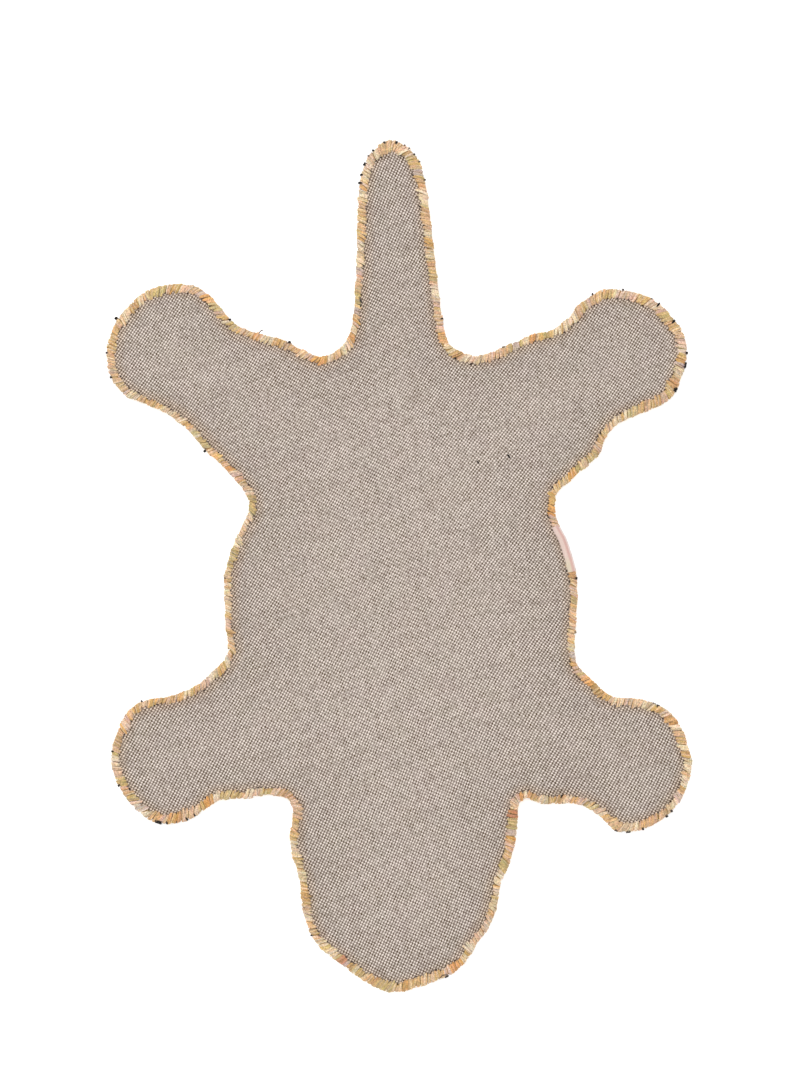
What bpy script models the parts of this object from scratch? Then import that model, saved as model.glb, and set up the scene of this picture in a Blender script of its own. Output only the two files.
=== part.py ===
"""Animal-shaped tufted rug for a child's room, lying pile down with its woven backing up.

A plain-woven backing cloth carries the tufts. Yarn is whipped over the edge of that cloth
all the way round, and a small woven label is folded over the rim at one flank.

X runs across the rug, +Y from its head to its tail and +Z up. The origin is on the floor,
under the middle of the rug's box.
"""

import math
from collections import namedtuple

import bmesh
import bpy
from mathutils import Vector

MM = 0.001

# ------------------------------------------------------------------ outline, in millimetres
# Cuts straight across the rug, each with the rim on its two sides.
Across = namedtuple("Across", "y left right")
# Cuts lengthwise through a leg, from the body to the paw, with the rim on the tail's side and
# on the head's side.
Lengthwise = namedtuple("Lengthwise", "x tailward headward")
# Single places on the rim, between two limbs.
Rim = namedtuple("Rim", "x y")

TAIL_TIP = Rim(x=-7, y=450)
TAIL = (
    Across(y=443, left=-23, right=9),
    Across(y=430, left=-34, right=20),
    Across(y=409, left=-40, right=27),
    Across(y=377, left=-43, right=32),
    Across(y=334, left=-43, right=37),
    Across(y=292, left=-46, right=42),
    Across(y=255, left=-50, right=47),
    Across(y=234, left=-59, right=54),
)
RUMP_RIGHT = (
    Rim(x=80, y=222),
    Rim(x=101, y=226),
    Rim(x=125, y=237),
    Rim(x=141, y=244),
    Rim(x=161, y=249),
)
RUMP_LEFT = (
    Rim(x=-156, y=248),
    Rim(x=-137, y=242),
    Rim(x=-120, y=238),
    Rim(x=-102, y=228),
    Rim(x=-82, y=221),
)

HIND_PAW_RIGHT = Rim(x=304, y=229)
HIND_LEG_RIGHT = (
    Lengthwise(x=178, tailward=260, headward=87),
    Lengthwise(x=193, tailward=278, headward=101),
    Lengthwise(x=211, tailward=290, headward=118),
    Lengthwise(x=221, tailward=292, headward=139),
    Lengthwise(x=236, tailward=292, headward=153),
    Lengthwise(x=271, tailward=280, headward=168),
    Lengthwise(x=288, tailward=263, headward=178),
    Lengthwise(x=300, tailward=248, headward=205),
)
HIND_PAW_LEFT = Rim(x=-309, y=221)
HIND_LEG_LEFT = (
    Lengthwise(x=-173, tailward=255, headward=91),
    Lengthwise(x=-190, tailward=273, headward=109),
    Lengthwise(x=-208, tailward=292, headward=128),
    Lengthwise(x=-228, tailward=298, headward=150),
    Lengthwise(x=-250, tailward=297, headward=164),
    Lengthwise(x=-270, tailward=289, headward=172),
    Lengthwise(x=-287, tailward=273, headward=179),
    Lengthwise(x=-303, tailward=250, headward=195),
)

GROIN_RIGHT = (Rim(x=168, y=78),)
GROIN_LEFT = (Rim(x=-161, y=76),)
BODY = (
    Across(y=60, left=-158, right=165),
    Across(y=43, left=-166, right=169),
    Across(y=30, left=-172, right=176),
    Across(y=16, left=-177, right=181),
    Across(y=-10, left=-184, right=188),
    Across(y=-37, left=-184, right=189),
    Across(y=-66, left=-183, right=187),
    Across(y=-89, left=-180, right=186),
)
ARMPIT_RIGHT = (Rim(x=189, y=-105),)
ARMPIT_LEFT = (Rim(x=-186, y=-103),)

FRONT_PAW_RIGHT = Rim(x=310, y=-210)
FRONT_LEG_RIGHT = (
    Lengthwise(x=202, tailward=-119, headward=-257),
    Lengthwise(x=218, tailward=-134, headward=-270),
    Lengthwise(x=230, tailward=-140, headward=-280),
    Lengthwise(x=250, tailward=-141, headward=-281),
    Lengthwise(x=278, tailward=-149, headward=-268),
    Lengthwise(x=295, tailward=-164, headward=-252),
    Lengthwise(x=305, tailward=-188, headward=-232),
)
FRONT_PAW_LEFT = Rim(x=-304, y=-204)
FRONT_LEG_LEFT = (
    Lengthwise(x=-200, tailward=-116, headward=-253),
    Lengthwise(x=-213, tailward=-127, headward=-263),
    Lengthwise(x=-230, tailward=-135, headward=-271),
    Lengthwise(x=-248, tailward=-140, headward=-273),
    Lengthwise(x=-268, tailward=-143, headward=-266),
    Lengthwise(x=-284, tailward=-152, headward=-250),
    Lengthwise(x=-296, tailward=-172, headward=-233),
)

NECK_RIGHT = (
    Rim(x=187, y=-252),
    Rim(x=168, y=-251),
    Rim(x=151, y=-252),
    Rim(x=137, y=-247),
    Rim(x=128, y=-250),
)
NECK_LEFT = (
    Rim(x=-117, y=-249),
    Rim(x=-136, y=-243),
    Rim(x=-162, y=-246),
    Rim(x=-189, y=-247),
)
HEAD = (
    Across(y=-261, left=-112, right=125),
    Across(y=-285, left=-115, right=124),
    Across(y=-302, left=-114, right=121),
    Across(y=-321, left=-108, right=114),
    Across(y=-339, left=-104, right=106),
    Across(y=-365, left=-101, right=101),
    Across(y=-386, left=-95, right=92),
    Across(y=-405, left=-82, right=78),
    Across(y=-420, left=-63, right=70),
    Across(y=-434, left=-44, right=52),
    Across(y=-446, left=-26, right=20),
)
MUZZLE = Rim(x=-4, y=-452)
STEPS_PER_SPAN = 2

# ------------------------------------------------------------------ layers, in metres
GAP = 0.3 * MM
PILE_HEIGHT = 10.0 * MM
PILE_RIM_HEIGHT = 8.2 * MM
PILE_RIM_ROUND = 3.0 * MM
PILE_INSIDE_RIM = 0.5 * MM
CLOTH_THICKNESS = 1.7 * MM
CLOTH_INSIDE_RIM = 2.5 * MM
YARN_THICKNESS = 1.5 * MM
WHIPPING_WIDTH = 9.0 * MM

# The label's two ends are places along Y on the right flank.
LABEL_TAILWARD_END = 44 * MM
LABEL_HEADWARD_END = -6 * MM
LABEL_THICKNESS = 0.6 * MM
LABEL_ON_TOP = 8.4 * MM
LABEL_HEM_HEIGHT = 3.0 * MM
LABEL_SPANS = 12

CLOTH_BOTTOM = PILE_HEIGHT + GAP
CLOTH_TOP = CLOTH_BOTTOM + CLOTH_THICKNESS
WHIPPING_TOP = CLOTH_TOP + GAP + YARN_THICKNESS
WHIPPING_BOTTOM = PILE_RIM_HEIGHT + GAP

MATERIALS = {
    # name: base colour, roughness
    "backing_cotton": ((0.45, 0.38, 0.33), 0.95),
    "edge_yarn": ((0.72, 0.47, 0.24), 0.9),
    "pile_yarn": ((0.66, 0.45, 0.27), 1.0),
    "label_ribbon": ((0.80, 0.62, 0.54), 0.75),
}


# ------------------------------------------------------------------ the rim
def right_rim(cuts):
    return [Rim(cut.right, cut.y) for cut in cuts]


def left_rim(cuts):
    return [Rim(cut.left, cut.y) for cut in reversed(cuts)]


def round_right_leg(cuts, paw):
    out = [Rim(cut.x, cut.tailward) for cut in cuts]
    back = [Rim(cut.x, cut.headward) for cut in reversed(cuts)]
    return out + [paw] + back


def round_left_leg(cuts, paw):
    out = [Rim(cut.x, cut.headward) for cut in cuts]
    back = [Rim(cut.x, cut.tailward) for cut in reversed(cuts)]
    return out + [paw] + back


def rim_places():
    """The rim's places in order, clockwise seen from above, from the tip of the tail."""
    right_half = [
        TAIL_TIP,
        *right_rim(TAIL),
        *RUMP_RIGHT,
        *round_right_leg(HIND_LEG_RIGHT, HIND_PAW_RIGHT),
        *GROIN_RIGHT,
        *right_rim(BODY),
        *ARMPIT_RIGHT,
        *round_right_leg(FRONT_LEG_RIGHT, FRONT_PAW_RIGHT),
        *NECK_RIGHT,
        *right_rim(HEAD),
    ]
    left_half = [
        MUZZLE,
        *left_rim(HEAD),
        *NECK_LEFT,
        *round_left_leg(FRONT_LEG_LEFT, FRONT_PAW_LEFT),
        *ARMPIT_LEFT,
        *left_rim(BODY),
        *GROIN_LEFT,
        *round_left_leg(HIND_LEG_LEFT, HIND_PAW_LEFT),
        *RUMP_LEFT,
        *left_rim(TAIL),
    ]
    return [Vector(place) * MM for place in right_half + left_half]


def on_span(before, start, end, after, share):
    """A point on the centripetal Catmull-Rom span from start to end."""
    points = (before, start, end, after)
    knots = [0.0]
    for a, b in zip(points, points[1:]):
        knots.append(knots[-1] + math.sqrt((b - a).length))
    at = knots[1] + share * (knots[2] - knots[1])

    def between(a, b, low, high):
        return a.lerp(b, (at - low) / (high - low))

    first = between(before, start, knots[0], knots[1])
    middle = between(start, end, knots[1], knots[2])
    last = between(end, after, knots[2], knots[3])
    return between(
        between(first, middle, knots[0], knots[2]),
        between(middle, last, knots[1], knots[3]),
        knots[1],
        knots[2],
    )


def smooth_ring(places):
    count = len(places)
    ring = []
    for i, start in enumerate(places):
        before, end, after = places[i - 1], places[(i + 1) % count], places[(i + 2) % count]
        for step in range(STEPS_PER_SPAN):
            ring.append(on_span(before, start, end, after, step / STEPS_PER_SPAN))
    return ring


def centred(ring):
    middle = Vector(
        (min(side) + max(side)) / 2 for side in ([p.x for p in ring], [p.y for p in ring])
    )
    return [point - middle for point in ring]


def inset(ring, distance):
    """The clockwise ring moved inwards by the distance."""
    count = len(ring)
    moved = []
    for i, point in enumerate(ring):
        along = (ring[(i + 1) % count] - ring[i - 1]).normalized()
        inwards = Vector((along.y, -along.x))
        moved.append(point + inwards * distance)
    return moved


def right_flank(ring, y):
    """The place on the ring's right flank at the height y."""
    for start, end in zip(ring, ring[1:]):
        if start.x > 0 and start.y >= y > end.y:
            return start.lerp(end, (y - start.y) / (end.y - start.y))
    raise ValueError("the ring has no right flank at this height")


# ------------------------------------------------------------------ making objects
def clear_scene():
    for obj in list(bpy.data.objects):
        bpy.data.objects.remove(obj, do_unlink=True)


def new_collection(name):
    collection = bpy.data.collections.new(name)
    bpy.context.scene.collection.children.link(collection)
    return collection


def new_material(name):
    colour, roughness = MATERIALS[name]
    material = bpy.data.materials.new(name)
    material.use_nodes = True
    shader = material.node_tree.nodes["Principled BSDF"]
    shader.inputs["Base Color"].default_value = (*colour, 1.0)
    shader.inputs["Roughness"].default_value = roughness
    shader.inputs["Metallic"].default_value = 0.0
    return material


def poly_curve(name, points, collection, closed=True):
    """A flat curve object through the points."""
    curve = bpy.data.curves.new(name, "CURVE")
    curve.dimensions = "2D"
    curve.fill_mode = "NONE"
    spline = curve.splines.new("POLY")
    spline.points.add(len(points) - 1)
    for spline_point, point in zip(spline.points, points):
        spline_point.co = (point[0], point[1], 0.0, 1.0)
    spline.use_cyclic_u = closed
    obj = bpy.data.objects.new(name, curve)
    collection.objects.link(obj)
    return obj


def slab(name, ring, bottom, top, collection, rim_round=0.0):
    """The flat shape inside the ring, with its rim rounded outwards by rim_round."""
    obj = poly_curve(name, ring, collection)
    obj.data.fill_mode = "BOTH"
    obj.data.extrude = (top - bottom) / 2 - rim_round
    obj.data.bevel_depth = rim_round
    obj.data.bevel_resolution = 1
    obj.location.z = (top + bottom) / 2
    return obj


def as_mesh(obj):
    """The curve object made a closed mesh object of the same name."""
    bpy.context.view_layer.update()
    evaluated = obj.evaluated_get(bpy.context.evaluated_depsgraph_get())
    mesh = bpy.data.meshes.new_from_object(evaluated)
    shape = bmesh.new()
    shape.from_mesh(mesh)
    bmesh.ops.remove_doubles(shape, verts=shape.verts, dist=1e-6)
    bmesh.ops.recalc_face_normals(shape, faces=shape.faces)
    shape.to_mesh(mesh)
    shape.free()
    name, place, collection = obj.name, obj.matrix_world.copy(), obj.users_collection[0]
    bpy.data.objects.remove(obj, do_unlink=True)
    made = bpy.data.objects.new(name, mesh)
    made.matrix_world = place
    collection.objects.link(made)
    return made


def section_guide(name, section, guides):
    """A closed section given as (outwards, up) from its path. A clockwise path has +X inwards."""
    guide = poly_curve(name, [(-outwards, up) for outwards, up in section], guides)
    guide.hide_render = True
    guide.display_type = "WIRE"
    return guide


def sweep(name, path, profile, height, collection, closed):
    """The section swept along the clockwise path, upright all the way."""
    obj = poly_curve(name, path, collection, closed)
    obj.data.dimensions = "3D"
    obj.data.twist_mode = "Z_UP"
    obj.data.bevel_mode = "OBJECT"
    obj.data.bevel_object = profile
    obj.data.use_fill_caps = not closed
    obj.location.z = height
    return as_mesh(obj)


def finish(obj, material):
    obj.data.materials.clear()
    obj.data.materials.append(material)
    obj.data.shade_smooth()
    obj.data.set_sharp_from_angle(angle=math.radians(40))


# ------------------------------------------------------------------ the pieces
def make_pile(rim, rug, guides):
    """The tufts: a slab with a soft rim, stepped down where the whipping's yarn passes under the cloth."""
    ring = inset(rim, PILE_INSIDE_RIM + PILE_RIM_ROUND)
    pile = as_mesh(slab("tufted_pile", ring, 0.0, PILE_RIM_HEIGHT, rug, PILE_RIM_ROUND))
    roots = inset(rim, WHIPPING_WIDTH + GAP)
    step = as_mesh(slab("pile_roots", roots, PILE_RIM_HEIGHT / 2, PILE_HEIGHT, guides))
    step.hide_render = True
    step.display_type = "WIRE"
    union = pile.modifiers.new("roots", "BOOLEAN")
    union.operation = "UNION"
    union.object = step
    finish(pile, new_material("pile_yarn"))


def make_cloth(rim, rug):
    ring = inset(rim, CLOTH_INSIDE_RIM)
    cloth = as_mesh(slab("backing_cloth", ring, CLOTH_BOTTOM, CLOTH_TOP, rug))
    finish(cloth, new_material("backing_cotton"))


def whipping_profile(middle, guides):
    """The yarn's section: a C that holds the edge of the cloth, round on its outer side."""
    half_height = (WHIPPING_TOP - WHIPPING_BOTTOM) / 2
    slot_bottom = CLOTH_BOTTOM - GAP - middle
    slot_top = CLOTH_TOP + GAP - middle
    slot_wall = GAP - CLOTH_INSIDE_RIM
    inner = -WHIPPING_WIDTH
    corner = YARN_THICKNESS / 3
    turns = 4
    outer = [
        (
            half_height * (math.cos(angle) - 1),
            half_height * math.sin(angle),
        )
        for angle in (math.pi * (0.5 - i / turns) for i in range(turns + 1))
    ]
    lower_lip = [(inner + corner, -half_height), (inner, corner - half_height), (inner, slot_bottom)]
    slot = [(slot_wall, slot_bottom), (slot_wall, slot_top)]
    upper_lip = [(inner, slot_top), (inner, half_height - corner), (inner + corner, half_height)]
    rim_outwards = [*outer, *lower_lip, *slot, *upper_lip]
    section = [(outwards + WHIPPING_WIDTH / 2, up) for outwards, up in rim_outwards]
    return section_guide("whipping_section", section, guides)


def make_whipping(rim, rug, guides):
    middle = (WHIPPING_TOP + WHIPPING_BOTTOM) / 2
    path = inset(rim, WHIPPING_WIDTH / 2)
    whipping = sweep("edge_whipping", path, whipping_profile(middle, guides), middle, rug, True)
    finish(whipping, new_material("edge_yarn"))


def label_profile(top, guides):
    """The label's section: flat on the whipping, round over the rim, then down the side of the pile."""
    outside = GAP + LABEL_THICKNESS
    bend = (WHIPPING_TOP - WHIPPING_BOTTOM) / 2
    turns = 4
    angles = [math.pi / 2 * i / turns for i in range(turns + 1)]

    def bent(radius):
        return [(radius * math.sin(a) - bend, radius * math.cos(a) - bend) for a in angles]

    hem = LABEL_HEM_HEIGHT - WHIPPING_TOP
    face = [(-LABEL_ON_TOP, outside), *bent(bend + outside), (outside, hem)]
    back = [(-LABEL_ON_TOP, GAP), *bent(bend + GAP), (GAP, hem)]
    return section_guide("label_section", face + back[::-1], guides)


def make_label(rim, rug, guides):
    fall = (LABEL_HEADWARD_END - LABEL_TAILWARD_END) / LABEL_SPANS
    heights = [LABEL_TAILWARD_END + fall * i for i in range(LABEL_SPANS + 1)]
    path = [right_flank(rim, y) for y in heights]
    profile = label_profile(WHIPPING_TOP, guides)
    label = sweep("woven_label", path, profile, WHIPPING_TOP, rug, False)
    finish(label, new_material("label_ribbon"))


def main():
    clear_scene()
    rug = new_collection("animal_shaped_rug")
    guides = new_collection("guides")
    rim = centred(smooth_ring(rim_places()))
    make_pile(rim, rug, guides)
    make_cloth(rim, rug)
    make_whipping(rim, rug, guides)
    make_label(rim, rug, guides)


main()
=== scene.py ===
"""Looks of the animal-shaped tufted rug: it lies pile down, with its woven backing up.

X runs across the rug, +Y from its head to its tail and +Z up from the floor. Lengths are in
millimetres until a mesh, a lamp or the camera is made, which takes metres.
"""

import math
from collections import namedtuple

import bpy
import numpy as np
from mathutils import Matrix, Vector
from mathutils.geometry import delaunay_2d_cdt
from mathutils.kdtree import KDTree


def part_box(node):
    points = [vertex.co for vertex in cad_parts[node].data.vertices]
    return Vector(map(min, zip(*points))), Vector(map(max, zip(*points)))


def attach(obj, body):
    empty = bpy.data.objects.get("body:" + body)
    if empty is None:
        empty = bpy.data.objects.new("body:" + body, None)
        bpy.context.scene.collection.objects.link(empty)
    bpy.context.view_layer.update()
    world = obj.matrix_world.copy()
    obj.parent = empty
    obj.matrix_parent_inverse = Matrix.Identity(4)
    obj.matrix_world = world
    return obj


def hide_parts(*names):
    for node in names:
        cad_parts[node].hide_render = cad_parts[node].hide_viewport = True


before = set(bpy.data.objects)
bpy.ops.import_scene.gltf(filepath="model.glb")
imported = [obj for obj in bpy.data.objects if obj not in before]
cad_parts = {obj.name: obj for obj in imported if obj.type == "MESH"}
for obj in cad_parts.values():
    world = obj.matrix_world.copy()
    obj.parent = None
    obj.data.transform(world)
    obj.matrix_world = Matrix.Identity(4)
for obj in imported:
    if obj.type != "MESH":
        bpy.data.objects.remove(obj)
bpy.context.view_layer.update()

MM = 0.001
X, Y, Z = 0, 1, 2
UP = (0.0, 0.0, 1.0)
FULL_TURN = 2 * math.pi

# ---- the photograph
PHOTO_WIDTH = 800
PHOTO_HEIGHT = 1067
MM_PER_PIXEL = 1.06
MIDDLE_PIXEL_X = 399.5
MIDDLE_PIXEL_Y = 566.4

# ---- sizes, in millimetres
RIM_STEP = 0.5
RIM_SMOOTHING = 3.0
BORDER_STEP = 2.0
LEVEL_WITHIN = 0.1
MERGE_DISTANCE = 1e-6

CLOTH_GRID = 5.0
CLOTH_UNEVENNESS = 0.35
CLOTH_WAVE_LENGTHS = (60, 190)
LEVEL_BAND = 30

STITCH_PITCH = 3.9
WHIPPING_OUTSET = 0.05
HUMP_LENGTH = 5
HUMP_SPREAD = 0.6
FLAT_UNDER_LABEL = -0.6
YARN_RADIUS = 0.79
YARN_SPACING = 1.24
PLY_LENGTH = 2.4
CORE_NARROWER = 2.2
CORE_INSET = 1.05
CORE_LOWER = 0.5

PILE_GRID = 2.7
PILE_INSET = 2.6
PILE_TIP_RELIEF = 0.9
RIM_TUFT_PITCH = 2.1
RIM_TUFT_OVERLAP = 0.4
TUFTS_STAND_OFF = 0.6
TUFTS_ABOVE_YARN = 1.05
TUFT_STRAND_WIDTH = 0.7
DARK_PILE_REACH = 6.0
PILE_YARN_END = 2.6
FUZZ_RADIUS = 0.07

FLANK_OUTSIDE_X = 100
FLANK_REACH = 70
LABEL_TAILWARD_END = 44.0
LABEL_HEADWARD_END = -5.0
LABEL_THICKNESS = 0.6
LABEL_SAG = 0.08
LABEL_RIB_PITCH = 0.7
LABEL_THREAD_PITCH = 0.5

FLOOR_SIZE = 12000.0
FLOOR_GAP = 0.2
LAMP_SIZE = 2400.0
LAMP_PLACE = (-900.0, 1500.0, 4200.0)
CAMERA_LENS = 85.0
CAMERA_SENSOR = 36.0
CAMERA_REACH = 20000.0

# ---- counts, angles and shares
CLOTH_WAVES = 7
FUZZ_FIBRES = 5200
LABEL_STATIONS = 54
LABEL_NARROWING = 0.9
WHIPPING_LEAN = 0.4

# Shares of a grid's step: how far apart its rows are, how far its points stray and how far it stays
# from the border.
TRIANGLE_HEIGHT = math.sqrt(0.75)
GRID_JITTER = 0.12
GRID_CLEARANCE = 0.6

# The first angle, the last one and the number of places from one to the other.
YARN_WRAP = (170, -120, 15)
CORE_WRAP = (175, -175, 14)
TUFT_FIRST_TURN = np.radians(-75)

# How much of a stitch's colour its patch or its run gives, and how full of it a run is.
PATCH_RULE = 0.55
RUN_RULE = 0.72
RUN_FILLED = 0.85

# How bright single stitches, yarns and tufts are.
Tones = namedtuple("Tones", "middle spread low high")
STITCH_TONES = Tones(1.0, 0.06, 0.85, 1.15)
YARN_TONES = Tones(1.0, 0.09, 0.75, 1.2)
TUFT_TONES = Tones(0.97, 0.07, 0.8, 1.1)

# How much the stitches differ: along the rim, in width, in fullness and in lean.
STITCH_JITTER = 0.55
WIDTH_SPREAD = 0.7
WIDTH_LIMITS = (-1.2, 1.8)
BULGE_LIMITS = (-1.0, 0.9)
LEAN_HUMP = 30
LEAN_WANDER = 0.14
LEAN_SPREAD = 0.09

# How much the yarns of a stitch differ: along the rim, in width and in fullness.
YARN_JITTER = 0.15
YARN_WIDTH_SPREAD = 0.45
YARN_PUFF_SPREAD = 0.2
YARN_BEND = 0.45
YARN_BEND_RATE = 1.7
YARN_END_SHARES = (0.5, 0.3)

# How far apart a stitch's yarns lie, at places counted back from the end of the wrap.
YARN_GATHER = {0: 0.5, 4: 1.0, 9: 1.0, 14: 0.7}

# How thick yarns are at shares of their length: the tufts' radii, and parts of the others' width.
RIM_TUFT_PROFILE = {0: 0.8, 0.2: 1.2, 0.75: 1.3, 0.92: 1.1, 1: 0.15}
DARK_TUFT_PROFILE = {0: 1.0, 0.75: 1.0, 1: 0.4}
STRAND_PROFILE = {0: 0.5, 0.2: 1, 0.8: 1, 1: 0.5}
PRICK_PROFILE = {-0.5: 0.1, 0: 0.5, 0.5: 0.1}

# Ranges of the stitch pricks, the fuzz and the dark tufts, in millimetres apart from slants, shades
# and shares.
PRICKS_SHOWN = 0.75
PRICK_REACH = (-0.1, 1.1)
PRICK_LENGTH = (1.0, 3.0)
PRICK_SLANT = (-0.8, 0.8)
PRICK_WIDTH = (0.5, 2.3)
PRICK_SHADE = (0.5, 1.3)
FUZZ_ROOT = (-1.5, 0.3)
FUZZ_LENGTH = (0.8, 2.8)
FUZZ_SLANT = (0.0, 0.8)
FUZZ_HEIGHT = (10.0, 13.2)
FUZZ_RISE = (-0.8, 1.0)
FUZZ_DRIFT = (-2.0, 2.0)
FUZZ_YARN_SHARE = 0.35
DARK_TUFT_DRIFT = (-0.15, 0.15)
DARK_TUFT_PAST = (-0.25, 0.15)
DARK_TUFT_END = (-0.1, 0.7)
DARK_TUFT_RADIUS = (0.66, 0.9)
DARK_TUFT_SHADE = (0.7, 1.3)

LAMP_WATTS = 76.0
SKY_STRENGTH = 0.75
FLOOR_SHADE = 0.93
FLOOR_GLOW = 0.5

# One seed for each set of random numbers.
SEEDS = {
    "sheets": 3,
    "label": 5,
    "stitches": 11,
    "whipping": 12,
    "outer": 23,
    "inner": 24,
    "dark_tufts": 37,
    "fuzz": 41,
    "pricks": 53,
}


def random_numbers(purpose):
    return np.random.default_rng(SEEDS[purpose])


def table(columns, *rows, defaults=()):
    """Rows of values with named columns. The defaults are for the last columns."""
    Row = namedtuple("Row", columns, defaults=defaults)
    return tuple(Row(*row) for row in rows)


def read_at(places, values):
    """What the values at some places come to at others."""
    return np.interp(places, list(values), list(values.values()))


# ---- colours
def srgb(red, green, blue):
    """A colour as a screen shows it, from 0 to 255, made linear."""
    shares = np.array([red, green, blue]) / 255
    return np.where(shares <= 0.04045, shares / 12.92, ((shares + 0.055) / 1.055) ** 2.4)


def brightness(colour):
    """How bright a linear colour looks, from 0 to 1."""
    return float(colour @ (0.2126, 0.7152, 0.0722))


WHITE = (1.0, 1.0, 1.0)
YARN_COLOURS = {
    "ochre": srgb(226, 184, 120),
    "peach": srgb(234, 196, 158),
    "cream": srgb(244, 226, 196),
    "pink": srgb(232, 199, 180),
    "khaki": srgb(211, 189, 132),
    "tan": srgb(214, 168, 124),
    "orange": srgb(229, 169, 98),
    "lilac": srgb(208, 191, 186),
    "rust": srgb(202, 132, 96),
}
# How often each of the first eight comes.
YARN_SHARES = dict(zip(YARN_COLOURS, (0.23, 0.22, 0.22, 0.11, 0.09, 0.07, 0.04, 0.02)))
DARK_YARN = srgb(20, 12, 8)
GREY_YARN = srgb(66, 54, 48)
# Painted shade of the needle holes along the whipping's inner side.
PRICK_HOLE_SHADE = srgb(60, 38, 32)
LINT = srgb(216, 207, 197)
# How far the core's ochre is darkened: painted shade between the stitches.
CORE_PAINTED_SHADE = 0.55

CLOTH_IN_SHADE = srgb(91, 72, 51)
CLOTH_IN_LIGHT = srgb(248, 234, 224)
# The cloth next to the whipping: painted shade of the whipping, partly the yarn's colour straying
# onto the cloth.
CLOTH_SHADED_AT_RIM = srgb(255, 247, 237)
WARP_BRIGHTNESS = 0.198
WEFT_BRIGHTNESS = 0.665

LABEL_FACE = srgb(254, 226, 214)
LABEL_FACE_HEADWARD = srgb(248, 230, 204)
# Where the label curls over the rim: painted shade of the fold, partly the pinker tone of the
# left-off lettering.
LABEL_FOLD_SHADED = srgb(240, 196, 186)
LABEL_FOLD_SHADED_HEADWARD = srgb(242, 200, 188)
LABEL_SIDE = srgb(255, 238, 232)

# ---- the cloth's weave
# The parts of a thread's tone that come from its slubs, from the thread and from the crossing.
ThreadTone = namedtuple("ThreadTone", "slub thread crossing base")
WARP_TONE = ThreadTone(0.9, 0.25, 0.9, 0.005)
WEFT_TONE = ThreadTone(0.5, 0.16, 0.46, 0.42)
WARP_CLOUDS = (38, 5)
WEFT_CLOUDS = (31, 4)
SLUB_APART = 7.3
SLUB_STRETCH = 0.11
# How strongly the painted light along one diagonal, caught by the threads' twist, shows.
SLANT = 0.165

# Smooth steps from the start to the end, between low and high.
Ramp = namedtuple("Ramp", "low high start end")
WEFT_CONTRAST = Ramp(0.43, 1.47, 0.7, 1.25)
WEFT_ON_TOP = Ramp(-0.2, 0.03, 0.0, 1.0)
# Where the painted light along one diagonal shows, in patches.
DIAGONAL_LIGHT_PATCHES = Ramp(0.35, 0.65, 0.4, 1.6)
YARN_MOTTLES = Ramp(0.3, 0.7, 0.69, 1.18)

# The same over the depth in from the rim, in millimetres.
FRAYING = Ramp(4.0, 22.0, 1.0, 0.0)
# Where the painted shade next to the whipping fades out.
RIM_PAINTED_SHADE = Ramp(7.5, 19.0, 1.0, 0.0)
# Painted shade in the low gaps between the threads: the brightness left there, lower near the rim.
HOLLOW_SHADE = Ramp(20.0, 80.0, 0.27, 0.47)
CHECKS = Ramp(20.0, 100.0, -0.15, -0.02)
# Painted shade: the cloth darker towards its rim.
EDGE_PAINTED_SHADE = Ramp(-40.0, 110.0, 0.832, 0.98)

# ---- tables
# Where the whipping keeps one colour for a while: the pixel, the colour and the run's length.
YARN_RUNS = table(
    "px py colour length",
    (320, 358, "orange", 14), (351, 338, "orange", 10), (531, 338, "orange", 12),
    (455, 963, "orange", 14), (673, 720, "orange", 12), (590, 680, "orange", 10),
    (175, 818, "orange", 12), (210, 802, "orange", 12), (525, 795, "orange", 10),
    (510, 815, "rust", 8), (343, 960, "rust", 9), (205, 295, "orange", 12),
    (232, 470, "orange", 12), (553, 510, "orange", 9), (443, 338, "orange", 10),
    (200, 442, "khaki", 22), (250, 505, "khaki", 20), (433, 275, "khaki", 12),
    (357, 297, "khaki", 12), (215, 308, "khaki", 12), (225, 795, "khaki", 10),
    (505, 865, "khaki", 10), (573, 600, "khaki", 12), (668, 315, "khaki", 12),
    (160, 290, "khaki", 14), (355, 312, "lilac", 10), (420, 170, "lilac", 8),
    (512, 835, "lilac", 9), (515, 345, "lilac", 9), (573, 655, "lilac", 9),
    (578, 668, "pink", 8), (555, 330, "cream", 14), (437, 290, "cream", 10),
    (500, 880, "cream", 12), (688, 765, "cream", 14), (620, 415, "cream", 14),
)

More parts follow.
